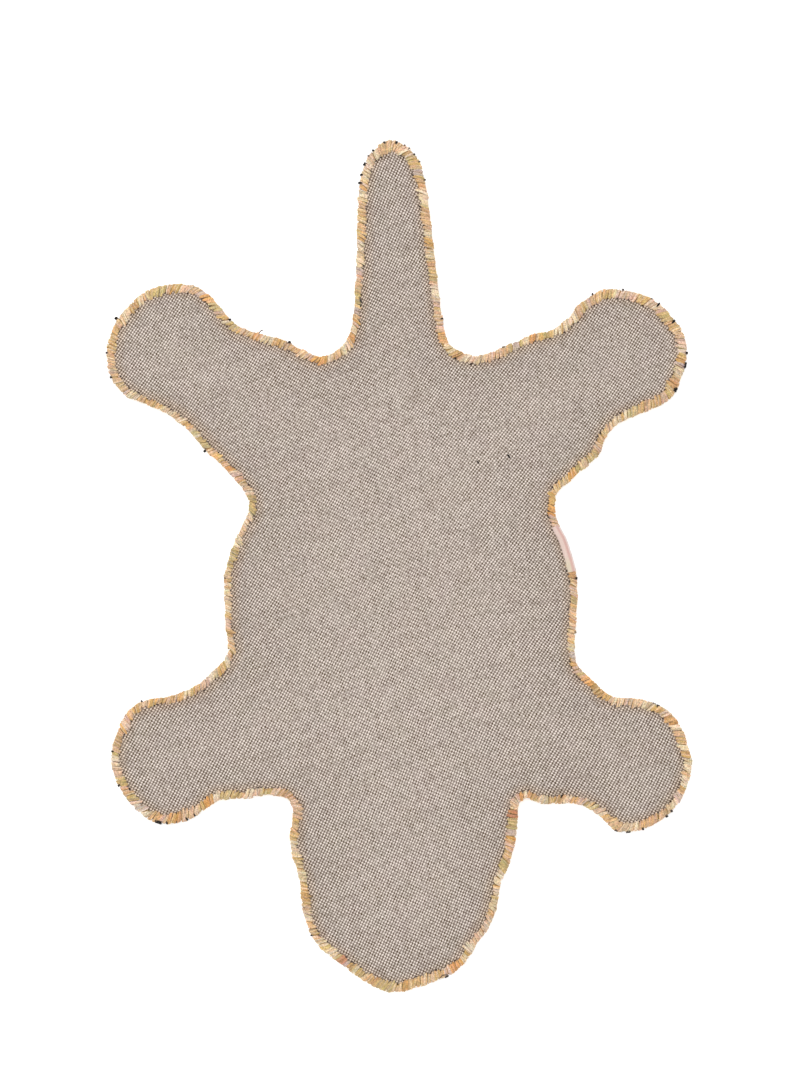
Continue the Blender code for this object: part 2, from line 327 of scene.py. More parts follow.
# The whipping at some pixels of the rim: how far past the cloth's even rim it bulges, and how wide
# it is, in millimetres. In between both change evenly.
WHIPPING_SIZES = table(
    "px py past wide",
    (400, 142, 0.0, 11.5), (429, 205, -0.2, 8.7), (433, 236, -1.0, 7.6),
    (438, 283, -0.3, 8.2), (443, 320, -0.3, 7.3), (460, 352, -0.3, 9.5),
    (487, 354, 0.6, 7.3), (549, 332, 0.4, 8.5), (592, 296, -0.2, 10.0),
    (640, 295, 0.5, 8.8), (680, 330, 0.3, 10.5), (686, 357, 0.6, 9.3),
    (675, 393, 0.0, 11.3), (644, 413, 0.5, 9.5), (618, 426, 0.1, 7.4),
    (585, 469, 0.3, 8.2), (558, 513, -0.4, 6.5), (568, 548, -0.2, 7.4),
    (577, 585, -0.2, 8.8), (578, 660, -0.2, 7.2), (607, 694, -1.0, 6.2),
    (655, 704, -1.3, 8.6), (685, 735, -0.6, 9.8), (691, 772, 0.2, 7.6),
    (662, 819, 0.9, 7.6), (627, 832, 0.4, 10.5), (603, 820, 0.1, 8.2),
    (561, 803, 0.4, 6.8), (513, 850, 0.0, 10.8), (498, 900, 1.1, 6.0),
    (455, 971, 0.9, 9.8), (390, 991, 0.2, 10.2), (362, 980, 0.5, 8.3),
    (340, 964, 1.1, 9.0), (292, 825, -0.5, 7.1), (280, 797, 0.0, 9.0),
    (241, 799, 0.9, 7.4), (171, 824, 0.1, 10.2), (137, 810, 0.9, 8.4),
    (122, 720, 0.3, 7.7), (148, 701, -0.9, 5.7), (218, 670, 0.9, 7.6),
    (228, 612, 0.0, 6.0), (228, 568, 0.3, 7.2), (240, 533, -0.6, 5.8),
    (248, 500, 0.6, 7.1), (234, 478, 0.0, 8.2), (205, 448, 1.4, 6.4),
    (150, 406, 0.7, 6.7), (115, 382, 0.0, 8.9), (119, 322, 1.4, 9.2),
    (166, 286, -1.0, 8.3), (228, 318, -0.2, 6.4), (285, 342, 0.2, 8.9),
    (314, 356, -0.1, 6.8), (346, 343, -0.3, 9.5), (355, 307, -0.3, 6.0),
    (358, 260, 0.6, 6.1), (360, 194, 0.3, 9.0), (365, 170, 0.1, 7.7),
)

# Tufts of the dark pile that come out under the whipping and fold over it: the pixel of the rim
# next to them, how far past the rim they stand, how far in from it they end, how wide they are and
# whether they are grey.
DARK_TUFTS = table(
    "px py past ends width grey",
    (384, 143, 0.8, 1.6, 2.2), (397, 141, -0.4, 2.2, 1.8), (404, 146, 0.2, 0.8, 1.4, True),
    (409, 149, 0.4, 1.2, 1.8), (414, 155, 0.2, 0.8, 1.2, True), (419, 162, 0.6, 1.4, 1.8),
    (424, 180, 0.4, 1.0, 1.6), (373, 151, 0.6, 0.8, 1.6), (369, 156, 0.6, 0.6, 1.4, True),
    (365, 164, 0.7, 1.0, 2.6), (362, 175, 0.7, 1.0, 2.2), (361, 183, 1.4, 2.0, 2.2),
    (442, 319, 0.4, 1.4, 2.0), (119, 320, 2.6, -0.8, 2.6), (108, 353, 0.6, 0.6, 1.6, True),
    (112, 377, 0.4, 0.6, 1.4, True), (207, 449, 2.4, -1.4, 1.8), (230, 320, 0.1, 1.0, 1.4),
    (289, 343, 0.7, 1.2, 2.2), (593, 295, 0.7, 0.6, 1.6, True), (623, 290, 0.5, 0.3, 2.0, True),
    (652, 299, 0.3, -0.1, 1.2, True), (659, 304, 0.2, 4.0, 1.6), (674, 321, 0.1, 3.8, 2.2),
    (686, 353, 0.8, 0.4, 2.6), (684, 365, 1.1, 0.6, 6.6), (676, 390, 0.5, 2.2, 4.0),
    (504, 347, 0.5, 0.4, 2.4, True), (225, 578, 0.2, 0.6, 1.4, True), (142, 702, 1.6, -0.4, 1.6),
    (113, 751, 0.1, 1.3, 1.8), (119, 785, 0.4, 1.8, 2.0), (159, 822, 0.8, 2.0, 6.4),
    (167, 823, 0.0, 1.8, 1.6), (177, 822, -0.6, 0.7, 1.6, True), (187, 819, 0.1, 2.8, 2.0),
    (195, 816, -0.3, 2.2, 1.4, True), (577, 578, -0.1, 1.8, 2.8), (575, 633, 0.5, 1.2, 1.8),
    (658, 704, -0.2, 1.0, 1.8, True), (671, 810, 0.3, 1.3, 1.8, True), (666, 815, 1.0, 0.3, 2.4),
    (643, 828, 0.7, 1.6, 2.0), (628, 831, 0.2, 0.2, 4.0, True), (617, 830, 0.5, 0.6, 3.6, True),
    (563, 796, 0.3, 0.5, 1.6, True), (313, 935, 0.3, 0.6, 1.4, True), (446, 976, 0.1, 0.2, 3.8, True),
    defaults=(False,),
)

# Dark strands that lie on top: their ends, how thick they are, how far they bow to the left of
# their run for each unit of length, and how high above the cloth's top their middle lies.
LOOSE_STRANDS = table(
    "px py end_px end_py thickness bow lift grey",
    (507.5, 454.5, 510, 458, 2.0, 0.0, 0.2),
    (477, 461, 479, 463.5, 1.5, 0.0, 0.1),
    (259, 334, 264, 330, 1.1, 0.2, 0.1, True),
    (454, 358, 456.5, 359, 1.6, 0.0, 1.5),
    (439, 979, 449, 975, 0.8, 0.2, 1.9, True),
    (360.5, 299, 361.5, 303, 1.5, 0.0, 1.5),
    (361, 304.5, 360.5, 307.5, 1.4, 0.0, 1.5),
    (561, 798, 562.5, 794.5, 1.6, 0.0, 1.7),
    (565.5, 570, 566.5, 572, 1.0, 0.0, 0.8, True),
    defaults=(False,),
)

# How the threads of the weave run. At some heights, how far the warp threads lean to the left
# for each step up, and how close together they lie, in threads to the millimetre.
WARP_RUNS = table(
    "py lean threads",
    (180, 0.34, 0.500),
    (240, 0.30, 0.502),
    (300, 0.17, 0.506),
    (420, 0.11, 0.506),
    (540, 0.16, 0.500),
    (600, 0.19, 0.496),
    (720, 0.30, 0.480),
    (780, 0.34, 0.477),
    (960, 0.32, 0.477),
)
# At some warp threads, by where they cross the row WEFT_ROW, how steeply the weft rises.
WEFT_ROW = 450
WEFT_THREADS = 0.497
WEFT_RUNS = table(
    "px rise",
    (110, 0.22),
    (185, 0.24),
    (230, 0.30),
    (305, 0.40),
    (350, 0.445),
    (395, 0.45),
    (440, 0.27),
    (485, 0.13),
    (530, 0.14),
    (600, 0.24),
    (634, 0.31),
    (690, 0.25),
)

# The three yarns of a stitch, side by side: how far aside each lies, in spacings, and how
# much further out it is wound, in millimetres.
WHIPPING_YARNS = table(
    "name side puff",
    ("first", -1, -0.1),
    ("second", 0, 0.1),
    ("third", 1, -0.1),
)

# The two outer rows of the pile: how far past the rim their roots, middles and tips are, and how far
# the row is shifted along it, in tufts.
RIM_TUFT_ROWS = table(
    "name root belly tip shift",
    ("outer", -2.6, -1.0, -1.6, 0.0),
    ("inner", -4.6, -3.2, -3.8, 0.5),
)

# The outer side of the label: how far past the rim it lies, and how far above the whipping's top.
LABEL_SECTION = table(
    "past above",
    (-8.6, 0.3),
    (-7.0, 0.75),
    (-5.2, 0.85),
    (-3.4, 0.75),
    (-1.8, 0.45),
    (-0.5, -0.3),
    (0.5, -1.4),
    (1.0, -2.8),
    (1.1, -4.2),
    (1.0, -6.0),
    (0.8, -8.2),
    (0.6, -10.4),
)


def from_photo(px, py):
    """The place on the rug that a pixel of the photograph shows."""
    return (px - MIDDLE_PIXEL_X) * MM_PER_PIXEL, (MIDDLE_PIXEL_Y - py) * MM_PER_PIXEL


# ---- the rim
def node_box(node):
    low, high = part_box(node)
    return np.array(low) / MM, np.array(high) / MM


def top_outline(node):
    """The outline of the node's flat top, clockwise seen from above, from the tip of the tail."""
    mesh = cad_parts[node].data
    top = max(vertex.co.z for vertex in mesh.vertices)
    edges = set()
    for face in mesh.polygons:
        corners = [mesh.vertices[i].co / MM for i in face.vertices]
        if min(corner.z for corner in corners) > top / MM - LEVEL_WITHIN:
            places = [(round(corner.x, 3), round(corner.y, 3)) for corner in corners]
            edges.update(zip(places, places[1:] + places[:1]))
    onward = {end: start for start, end in edges if (end, start) not in edges}
    place = max(onward, key=lambda corner: corner[Y])
    ring = []
    for _ in onward:
        ring.append(place)
        place = onward[place]
    return np.array(ring)


class Rim:
    """The rug's rim, walked clockwise seen from above from the tip of the tail."""

    def __init__(self, outline, outset):
        ring = even_ring(smooth_ring(outline), RIM_STEP)
        self.length = RIM_STEP * len(ring)
        self.stops = np.arange(len(ring)) * RIM_STEP
        along = np.roll(ring, -1, axis=0) - np.roll(ring, 1, axis=0)
        along = smoothed(along, RIM_SMOOTHING)
        along /= np.linalg.norm(along, axis=1, keepdims=True)
        self.out = np.column_stack([-along[:, Y], along[:, X]])
        self.ring = ring + self.out * outset
        self.tree = KDTree(len(ring))
        for i, point in enumerate(self.ring):
            self.tree.insert((*point, 0.0), i)
        self.tree.balance()

    def between(self, along, stops, values):
        """What the values at the stops come to at other places along the rim."""
        return np.interp(along, stops, values, period=self.length)

    def outward(self, along, axis):
        return self.between(along, self.stops, self.out[:, axis])

    def places(self, along, past, up):
        """The places that far along the rim, past it and up from the floor."""
        x, y = (
            self.between(along, self.stops, self.ring[:, axis]) + past * self.outward(along, axis)
            for axis in (X, Y)
        )
        return np.stack(np.broadcast_arrays(x, y, up), axis=-1)

    def direction(self, along):
        """The unit vectors along the rim."""
        out_x, out_y = self.outward(along, X), self.outward(along, Y)
        return np.stack([out_y, -out_x, np.zeros_like(out_x)], axis=-1)

    def nearest(self, x, y):
        """How far along the rim the nearest point is, and how far away."""
        _, i, distance = self.tree.find((x, y, 0.0))
        return self.stops[i], distance

    def beside(self, row):
        """How far along the rim the row's pixel is."""
        return self.nearest(*from_photo(row.px, row.py))[0]

    def spaced(self, pitch, shift=0.0):
        """Places along the rim at an even spacing close to the pitch."""
        count = round(self.length / pitch)
        return (np.arange(count) + shift) * self.length / count


def smoothed(values, reach):
    """The ring's values averaged over that length each way."""
    steps = int(reach / RIM_STEP)
    total = sum(np.roll(values, i, axis=0) for i in range(-steps, steps + 1))
    return total / (2 * steps + 1)


def smooth_ring(points, steps=24):
    """Points on the closed Catmull-Rom curve through the given ones."""
    before, end, after = (np.roll(points, shift, axis=0) for shift in (1, -1, -2))
    share = (np.arange(steps) / steps)[None, :, None]
    start, before, end, after = (p[:, None, :] for p in (points, before, end, after))
    curve = 0.5 * (
        2 * start
        + (end - before) * share
        + (2 * before - 5 * start + 4 * end - after) * share**2
        + (3 * start - before - 3 * end + after) * share**3
    )
    return curve.reshape(-1, 2)


def walked(points):
    """How far along the line through the points each of them is."""
    steps = np.linalg.norm(np.diff(points, axis=-2), axis=-1)
    return np.concatenate([np.zeros_like(steps[..., :1]), np.cumsum(steps, axis=-1)], axis=-1)


def even_ring(ring, step):
    """The ring's points at an even spacing close to the step."""
    closed = np.vstack([ring, ring[:1]])
    reach = walked(closed)
    count = int(reach[-1] // step)
    stops = np.arange(count) * reach[-1] / count
    return np.column_stack([np.interp(stops, reach, closed[:, axis]) for axis in (X, Y)])


# ---- meshes
def add_object(name, data):
    obj = bpy.data.objects.new(name, data)
    bpy.context.scene.collection.objects.link(obj)
    return obj


def make_mesh(name, points, faces, colours=None, uvs=None):
    """A smooth mesh object. Points are in millimetres, and each face has as many corners."""
    faces = np.asarray(faces, dtype=np.int32)
    corners = faces.shape[1]
    mesh = bpy.data.meshes.new(name)
    mesh.vertices.add(len(points))
    mesh.vertices.foreach_set("co", (np.asarray(points) * MM).astype(np.float32).ravel())
    mesh.loops.add(faces.size)
    mesh.loops.foreach_set("vertex_index", faces.ravel())
    mesh.polygons.add(len(faces))
    mesh.polygons.foreach_set("loop_start", np.arange(0, faces.size, corners, dtype=np.int32))
    mesh.update(calc_edges=True)
    if colours is not None:
        layer = mesh.color_attributes.new("yarn_colour", "FLOAT_COLOR", "POINT")
        opaque = np.column_stack([colours, np.ones(len(colours))])
        layer.data.foreach_set("color", opaque.astype(np.float32).ravel())
    if uvs is not None:
        layer = mesh.uv_layers.new(name="along_yarn")
        layer.uv.foreach_set("vector", uvs.astype(np.float32).ravel())
    mesh.shade_smooth()
    return add_object(name, mesh)


def mesh_places(obj):
    places = np.empty(3 * len(obj.data.vertices))
    obj.data.vertices.foreach_get("co", places)
    return places.reshape(-1, 3) / MM


def add_value(obj, name, values):
    """A number at each point of the mesh, for its material to read."""
    layer = obj.data.attributes.new(name, "FLOAT", "POINT")
    layer.data.foreach_set("value", np.asarray(values, dtype=np.float32))


def tube_faces(rows, next_rows):
    """The faces between rows of points and the next rows. Each row is a closed section."""
    beside, next_beside = (np.roll(index, -1, axis=1) for index in (rows, next_rows))
    return np.stack([rows, next_rows, next_beside, beside], axis=-1).reshape(-1, 4)


def yarns(name, paths, radii, sideways, colours, sides=5):
    """Round yarns joined as one mesh.

    Paths are (yarns, stops, 3), with a radius for each stop and a colour for each yarn. Sideways
    is a direction that the yarns never run along, one for all of them or one for each.
    """
    count, stops = paths.shape[:2]
    ahead = np.gradient(paths, axis=1)
    ahead /= np.linalg.norm(ahead, axis=2, keepdims=True)
    sideways = np.broadcast_to(np.atleast_2d(sideways)[:, None, :], paths.shape)
    across = sideways - (sideways * ahead).sum(axis=2, keepdims=True) * ahead
    across /= np.linalg.norm(across, axis=2, keepdims=True)
    third = np.cross(ahead, across)
    angles = FULL_TURN * np.arange(sides) / sides
    spokes = (
        across[:, :, None, :] * np.cos(angles)[:, None]
        + third[:, :, None, :] * np.sin(angles)[:, None]
    )
    points = paths[:, :, None, :] + radii[:, :, None, None] * spokes
    index = np.arange(count * stops * sides).reshape(count, stops, sides)
    beside = np.roll(index, -1, axis=2)
    faces = np.stack([index[:, :-1], beside[:, :-1], beside[:, 1:], index[:, 1:]], axis=-1)
    reach = walked(paths)
    start, end = reach[:, :-1, None], reach[:, 1:, None]
    left = np.arange(sides) / sides
    right = left + 1 / sides
    corners = ((start, left), (start, right), (end, right), (end, left))
    uvs = [np.stack(np.broadcast_arrays(*corner), axis=-1) for corner in corners]
    uvs = np.stack(uvs, axis=-2).reshape(-1, 2)
    spread = np.repeat(colours, stops * sides, axis=0)
    return make_mesh(name, points.reshape(-1, 3), faces.reshape(-1, 4), spread, uvs)


def inside(ring, points):
    """Which of the points lie inside the ring."""
    within = np.zeros(len(points), dtype=bool)
    for start, end in zip(ring, np.roll(ring, -1, axis=0)):
        spans = (start[Y] > points[:, Y]) != (end[Y] > points[:, Y])
        slope = (end[X] - start[X]) / (end[Y] - start[Y] or 1.0)
        within ^= spans & (points[:, X] < start[X] + slope * (points[:, Y] - start[Y]))
    return within


def filled_outline(rim, inset, step, rng):
    """Points and triangles of the flat shape inside the rim, and each point's depth from the rim."""
    ring = rim.places(np.arange(0, rim.length, BORDER_STEP), -inset, 0.0)[:, :Z]
    low, high = ring.min(axis=0), ring.max(axis=0)
    rows = np.arange(low[Y], high[Y], step * TRIANGLE_HEIGHT)
    columns = np.arange(low[X], high[X], step)
    grid = np.array([(x + (j % 2) * step / 2, y) for j, y in enumerate(rows) for x in columns])
    grid += rng.uniform(-GRID_JITTER * step, GRID_JITTER * step, grid.shape)
    grid = grid[inside(ring, grid)]
    depths = np.array([rim.nearest(x, y)[1] for x, y in grid])
    keep = depths > inset + GRID_CLEARANCE * step
    grid, depths = grid[keep], depths[keep]
    places = [Vector(place) for place in np.vstack([ring, grid])]
    border = [(i, (i + 1) % len(ring)) for i in range(len(ring))]
    flat, _, triangles, *_ = delaunay_2d_cdt(places, border, [], 1, MERGE_DISTANCE)
    depths = np.concatenate([np.full(len(ring), inset), depths])
    return np.array(flat), np.array(triangles), depths, len(ring)


def slab(name, rim, inset, step, top, bottom, rng):
    """A closed sheet inside the rim. Top and bottom give the heights at (x, y, depth)."""
    flat, triangles, depths, border = filled_outline(rim, inset, step, rng)
    count = len(flat)
    upper, lower = (
        np.column_stack([flat, height(flat[:, X], flat[:, Y], depths)]) for height in (top, bottom)
    )
    a, b, c = (flat[triangles[:, i]] for i in range(3))
    area = np.sum((b - a)[:, X] * (c - a)[:, Y] - (b - a)[:, Y] * (c - a)[:, X]) / 2
    if area < 0:
        triangles = triangles[:, ::-1]
    i = np.arange(border)
    j = np.roll(i, -1)
    walls = [np.column_stack([i, j, j + count]), np.column_stack([i, j + count, i + count])]
    faces = np.vstack([triangles, triangles[:, ::-1] + count, *walls])
    obj = make_mesh(name, np.vstack([upper, lower]), faces)
    add_value(obj, "depth", np.concatenate([depths, depths]))
    return obj, abs(area)


# ---- shader sums
class Value:
    """A number, a place or a colour in a shader. Sums of numbers are written as in Python."""

    def __init__(self, tree, socket):
        self.tree = tree
        self.socket = socket

    def math(self, operation, *others):
        return new_value(self.tree, "Math", enumerate((self, *others)), operation=operation)

    def __add__(self, other):
        return self.math("ADD", other)

    def __sub__(self, other):
        return self.math("SUBTRACT", other)

    def __mul__(self, other):
        return self.math("MULTIPLY", other)

    def __truediv__(self, other):
        return self.math("DIVIDE", other)

    __radd__ = __add__
    __rmul__ = __mul__

    def ramp(self, low, high, start=0.0, end=1.0):
        """Start up to low, end from high, and a smooth step between them."""
        inputs = enumerate((self, low, high, start, end))
        return new_value(self.tree, "MapRange", inputs, interpolation_type="SMOOTHSTEP")


def fill_inputs(node, inputs):
    """Gives the node its inputs by name or by place: values, plain numbers or colours."""
    for name, operand in dict(inputs).items():
        if isinstance(operand, Value):
            operand.tree.links.new(operand.socket, node.inputs[name])
        else:
            node.inputs[name].default_value = operand


def new_value(tree, kind, inputs=(), output=0, **settings):
    """The output of a new node with those inputs and settings."""
    node = tree.nodes.new("ShaderNode" + kind)
    for name, setting in settings.items():
        setattr(node, name, setting)
    fill_inputs(node, inputs)
    return Value(tree, node.outputs[output])


def place_on_rug(tree):
    """The point's place, in metres."""
    return new_value(tree, "TexCoord", output="Object")


def place_on_yarn(tree):
    """How far along its yarn a point is, in millimetres, and how far round it, from 0 to 1."""
    layer = new_value(tree, "UVMap", uv_map="along_yarn")
    return (new_value(tree, "SeparateXYZ", {0: layer}, output=axis) for axis in (X, Y))


def noise(place, size, detail=2.0, output="Fac"):
    """Cloudy noise from 0 to 1, with clouds of that size in millimetres."""
    inputs = {"Vector": place, "Scale": 1 / (size * MM), "Detail": detail}
    return new_value(place.tree, "TexNoise", inputs, output)


def plain_noise(along, across, scale=1.0, detail=2.0):
    """Cloudy noise over two numbers."""
    join = new_value(along.tree, "CombineXYZ", {X: along, Y: across})
    inputs = {"Vector": join, "Scale": scale, "Detail": detail}
    return new_value(along.tree, "TexNoise", inputs, "Fac")


def chance(number):
    """A random number from 0 to 1 for each value of the number."""
    return new_value(number.tree, "TexWhiteNoise", {"W": number}, "Value", noise_dimensions="1D")


def point_value(tree, name, output="Fac"):
    return new_value(tree, "Attribute", output=output, attribute_name=name)


def mixed(tree, share, first, second):
    """First where the share is 0, second where it is 1."""
    first, second = (c if isinstance(c, Value) else (*c, 1.0) for c in (first, second))
    inputs = {"Factor": share, "A": first, "B": second}
    return new_value(tree, "Mix", inputs, "Result", data_type="RGBA")


def brightened(colour, factor):
    """The colour times the factor, which is a number or a colour."""
    inputs = enumerate((colour, factor))
    return new_value(colour.tree, "VectorMath", inputs, operation="MULTIPLY")


def stretched(colour, factor, start):
    """Each part of the colour times the factor, from that start."""
    inputs = enumerate((colour, (factor,) * 3, (start,) * 3))
    return new_value(colour.tree, "VectorMath", inputs, operation="MULTIPLY_ADD")


def new_material(name, roughness, sheen=0.0, specular=0.2):
    material = bpy.data.materials.new(name)
    material.use_nodes = True
    shader = material.node_tree.nodes["Principled BSDF"]
    surface = {
        "Roughness": roughness,
        "Specular IOR Level": specular,
        "Sheen Weight": sheen,
        "Sheen Roughness": 0.5,
    }
    fill_inputs(shader, surface)
    return material, material.node_tree, shader


def finish_material(shader, colour, height, depth):
    """Gives the shader its colour and a bump that is that many millimetres deep."""
    bump = new_value(colour.tree, "Bump", {"Distance": depth * MM, "Height": height})
    fill_inputs(shader, {"Normal": bump, "Base Color": colour})


# ---- materials
def wavering(tree, name, place, wide, narrow):
    """The mesh's number of that name, drawn out of true by clouds of two sizes."""
    return point_value(tree, name) + noise(place, wide) * 0.5 + noise(place, narrow) * 0.6


def thread_tone(slub, number, crossing, parts):
    """How bright a thread is: by its slubs, by the thread and by the crossing."""
    return slub * parts.slub + chance(number) * parts.thread + crossing * parts.crossing + parts.base


def backing_material():
    """Plain weave of dark warp threads and cream weft threads, drawn out of true by the tufting."""
    material, tree, shader = new_material("backing_cotton", 0.95, sheen=0.1)
    place = place_on_rug(tree)
    depth = point_value(tree, "depth")
    warp = wavering(tree, "warp", place, *WARP_CLOUDS)
    weft = wavering(tree, "weft", place, *WEFT_CLOUDS)
    warp_number, weft_number = warp.math("FLOOR"), weft.math("FLOOR")
    half_width = depth.ramp(*FRAYING) * -0.05 + 0.49

    def thread(threads, number, along):
        """How far a thread stands up round its middle, and how far over the other one it is."""
        roundness = (((threads - number) - 0.5) / half_width).math("POWER", 2.0) * -1.0 + 1.0
        body = roundness.math("MAXIMUM", 0.0).math("SQRT")
        over = (number * math.pi).math("COSINE") * ((along - 0.5) * math.pi).math("COSINE")
        return body, over

    warp_body, warp_over = thread(warp, warp_number, weft)
    weft_body, weft_over = thread(weft, weft_number, warp)
    warp_height = warp_body * (warp_over * 0.45 + 0.55)
    weft_height = weft_body * (weft_over * -0.45 + 0.55)
    height = warp_height.math("MAXIMUM", weft_height)

    warp_slub = plain_noise(warp_number * SLUB_APART, weft * SLUB_STRETCH)
    weft_slub = plain_noise(warp * SLUB_STRETCH, weft_number * SLUB_APART)
    crossing = chance(warp_number * 17.3 + weft_number * 91.7)
    dark = thread_tone(warp_slub, warp_number, crossing, WARP_TONE) * WARP_BRIGHTNESS
    light = thread_tone(weft_slub, weft_number, crossing, WEFT_TONE)
    light = light.ramp(*WEFT_CONTRAST) * WEFT_BRIGHTNESS
    tone = dark + (light - dark) * (weft_height - warp_height).ramp(*WEFT_ON_TOP)

    # Painted shade: the weave darker where the threads lie low, in the gaps between them.
    hollow_shade = height.ramp(0.05, 0.62, depth.ramp(*HOLLOW_SHADE), 1.0)
    # Painted light and shade: the threads' twist catching the light along one diagonal, in patches.
    patchy = noise(place, 9).ramp(*DIAGONAL_LIGHT_PATCHES)
    diagonal_light = ((warp - weft) * math.pi).math("COSINE") * patchy * -SLANT + 1.0
    checks = (warp * math.pi).math("SINE") * (weft * math.pi).math("SINE")
    checks = checks * depth.ramp(*CHECKS) + 1.0
    clouds = noise(place, 7, detail=3.0) * 0.14 + 0.93
    tone = tone * hollow_shade * diagonal_light * checks * clouds * depth.ramp(*EDGE_PAINTED_SHADE)
    darkest, lightest = brightness(CLOTH_IN_SHADE), brightness(CLOTH_IN_LIGHT)
    share = (tone - darkest) / (lightest - darkest)
    tint = noise(place, 24, detail=0.0, output="Color")
    tinted = mixed(tree, 0.012, mixed(tree, share, CLOTH_IN_SHADE, CLOTH_IN_LIGHT), tint)
    # Painted shade next to the whipping, warm from the yarn's stray colour.
    rim_shade = mixed(tree, depth.ramp(*RIM_PAINTED_SHADE), WHITE, CLOTH_SHADED_AT_RIM)
    finish_material(shader, brightened(tinted, rim_shade), height, 0.55)
    return material


def yarn_material():
    """Two-ply yarn that takes its colour from the mesh."""
    material, tree, shader = new_material("edge_yarn", 0.9, sheen=0.25)
    along, around = place_on_yarn(tree)
    place = place_on_rug(tree)
    ply = ((around * 2.0 + along / PLY_LENGTH) * FULL_TURN).math("COSINE") * 0.5 + 0.5
    fibres = plain_noise(along * 0.9, around * 9.0 + along * 2.2, scale=1.6, detail=3.0)
    mottled = noise(place, 1.5).ramp(*YARN_MOTTLES)
    hue = noise(place, 6.0, detail=1.0, output="Color")
    # Painted shade: the yarn darker in the grooves between its two plies.
    shade = ply.ramp(0.0, 0.5, 0.86, 1.0) * (fibres * 0.5 + 0.78) * mottled
    colour = brightened(point_value(tree, "yarn_colour", "Color"), shade)
    colour = brightened(colour, stretched(hue, 0.26, 0.89))
    finish_material(shader, colour, ply * 0.5 + fibres * 0.5, 0.25)
    return material


def pile_material():
    """Cut pile: the ends of mixed yarns, dark where dark tufts show past the rim."""
    material, tree, shader = new_material("pile_yarn", 1.0, sheen=0.3)
    place = place_on_rug(tree)
    cells = {"Scale": 1 / (PILE_YARN_END * MM), "Vector": place}
    off_middle = new_value(tree, "TexVoronoi", cells, "Distance")
    cell_colour = new_value(tree, "TexVoronoi", cells, "Color")
    ramp = tree.nodes.new("ShaderNodeValToRGB")
    ramp.color_ramp.interpolation = "CONSTANT"
    fill_inputs(ramp, {0: new_value(tree, "SeparateColor", {0: cell_colour})})
    stops = ramp.color_ramp.elements
    start = 0.0
    for i, (yarn, share) in enumerate(YARN_SHARES.items()):
        stop = stops[i] if i < 2 else stops.new(start)
        stop.position = start
        stop.color = (*YARN_COLOURS[yarn], 1.0)
        start += share
    fibres = noise(place, 0.5, detail=3.0)
    lit = off_middle.ramp(0.0, 0.7, 1.0, 0.45) * (fibres * 0.5 + 0.7)
    mix = mixed(tree, point_value(tree, "dark"), Value(tree, ramp.outputs[0]), DARK_YARN)
    finish_material(shader, brightened(mix, lit), off_middle * -1.0 + fibres * 0.3, 1.2)
    return material


def ribbon_material():
    """Fine woven ribbon, pale pink towards the tail and cream towards the head."""
    material, tree, shader = new_material("label_ribbon", 0.7, sheen=0.2)
    along, across = place_on_yarn(tree)
    towards_head = along.ramp(32.0, 44.0)
    face = mixed(tree, towards_head, LABEL_FACE, LABEL_FACE_HEADWARD)
    # Painted shade where the label curls over the rim, partly the lettering's pinker tone.
    fold = mixed(tree, towards_head, LABEL_FOLD_SHADED, LABEL_FOLD_SHADED_HEADWARD)
    colour = mixed(tree, across.ramp(4.0, 6.0), face, fold)
    colour = mixed(tree, across.ramp(7.4, 8.8), colour, LABEL_SIDE)
    ribs = [
        (way * (FULL_TURN / pitch)).math("SINE")
        for way, pitch in ((along, LABEL_RIB_PITCH), (across, LABEL_THREAD_PITCH))
    ]
    slubs = plain_noise(along * 2.0, across * 0.6)
    finish_material(shader, brightened(colour, slubs * 0.3 + 0.85), ribs[0] * ribs[1] + slubs, 0.12)
    return material


def floor_material():
    material, _, shader = new_material("pale_floor", 0.9, specular=0.0)
    glow = {"Emission Color": (*WHITE, 1.0), "Emission Strength": FLOOR_GLOW}
    fill_inputs(shader, {"Base Color": (FLOOR_SHADE, FLOOR_SHADE, FLOOR_SHADE, 1.0), **glow})
    return material


def dress(obj, material, slot, *nodes):
    """Gives a piece its material and its body, and hides the nodes that it stands for. The slot is
    not used.
    """
    obj.data.materials.append(material)
    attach(obj, "root")
    if nodes:
        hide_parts(*nodes)
    return obj


# ---- the cloth
def drift(places, slopes):
    """Every millimetre that the places span, and how far the slopes have added up to there."""
    every = np.arange(min(places) - 100.0, max(places) + 100.0)
    order = np.argsort(places)
    slope = np.interp(every, np.array(places)[order], np.array(slopes)[order])
    return every, np.concatenate([[0.0], np.cumsum(slope[1:] + slope[:-1]) / 2])


def thread_numbers(x, y):
    """How many warp threads and how many weft threads each place is away from the first."""
    rows = [from_photo(0, run.py)[Y] for run in WARP_RUNS]
    heights, leaned = drift(rows, [run.lean for run in WARP_RUNS])
    spread = np.interp(-y, [-row for row in rows], [run.threads for run in WARP_RUNS])
    level = np.interp(from_photo(0, WEFT_ROW)[Y], heights, leaned)
    warp_place = x + np.interp(y, heights, leaned) - level
    columns = [from_photo(run.px, 0)[X] for run in WEFT_RUNS]
    across, risen = drift(columns, [run.rise for run in WEFT_RUNS])
    weft_place = y - np.interp(warp_place, across, risen)
    return warp_place * spread, weft_place * WEFT_THREADS


